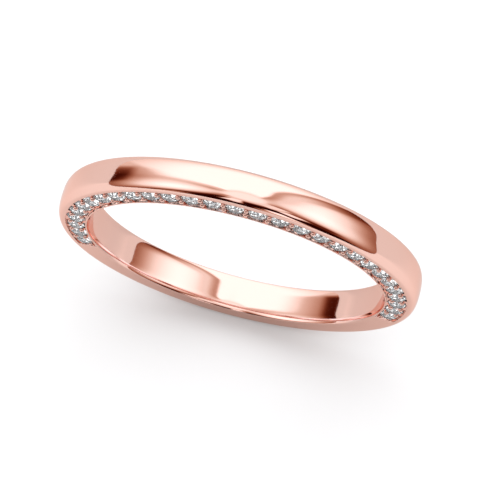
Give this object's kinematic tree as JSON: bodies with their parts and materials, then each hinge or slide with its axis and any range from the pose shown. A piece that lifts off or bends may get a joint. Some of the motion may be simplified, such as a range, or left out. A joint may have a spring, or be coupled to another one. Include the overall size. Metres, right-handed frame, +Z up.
{
  "type": "wedding band",
  "caption": "Slim polished finger ring with a low rounded outside, comfort-fit bore and a row of bead-set round brilliants let into each side face over the top.",
  "frame": {"origin": "centre of the finger hole, midway between the two side faces", "axes": "+Y along the finger hole from the front side face to the back one, +Z up through the middle diamond of each row, +X to the right seen from the front"},
  "size_m": [0.0206, 0.0022, 0.0206],
  "materials": {
    "rose_gold": "mirror polished",
    "diamond": "polished facets"
  },
  "bodies": {
    "root": {"band": "rose_gold", "front_diamond_01": "diamond", "front_diamond_02": "diamond", "front_diamond_03": "diamond", "front_diamond_04": "diamond", "front_diamond_05": "diamond", "front_diamond_06": "diamond", "front_diamond_07": "diamond", "front_diamond_08": "diamond", "front_diamond_09": "diamond", "front_diamond_10": "diamond", "front_diamond_11": "diamond", "front_diamond_12": "diamond", "front_diamond_13": "diamond", "front_diamond_14": "diamond", "front_diamond_15": "diamond", "front_diamond_16": "diamond", "front_diamond_17": "diamond", "front_diamond_18": "diamond", "front_diamond_19": "diamond", "front_diamond_20": "diamond", "front_diamond_21": "diamond", "front_diamond_22": "diamond", "front_diamond_23": "diamond", "front_diamond_24": "diamond", "front_diamond_25": "diamond", "front_diamond_26": "diamond", "front_diamond_27": "diamond", "front_diamond_28": "diamond", "front_diamond_29": "diamond", "back_diamond_01": "diamond", "back_diamond_02": "diamond", "back_diamond_03": "diamond", "back_diamond_04": "diamond", "back_diamond_05": "diamond", "back_diamond_06": "diamond", "back_diamond_07": "diamond", "back_diamond_08": "diamond", "back_diamond_09": "diamond", "back_diamond_10": "diamond", "back_diamond_11": "diamond", "back_diamond_12": "diamond", "back_diamond_13": "diamond", "back_diamond_14": "diamond", "back_diamond_15": "diamond", "back_diamond_16": "diamond", "back_diamond_17": "diamond", "back_diamond_18": "diamond", "back_diamond_19": "diamond", "back_diamond_20": "diamond", "back_diamond_21": "diamond", "back_diamond_22": "diamond", "back_diamond_23": "diamond", "back_diamond_24": "diamond", "back_diamond_25": "diamond", "back_diamond_26": "diamond", "back_diamond_27": "diamond", "back_diamond_28": "diamond", "back_diamond_29": "diamond"}
  },
  "joints": []
}
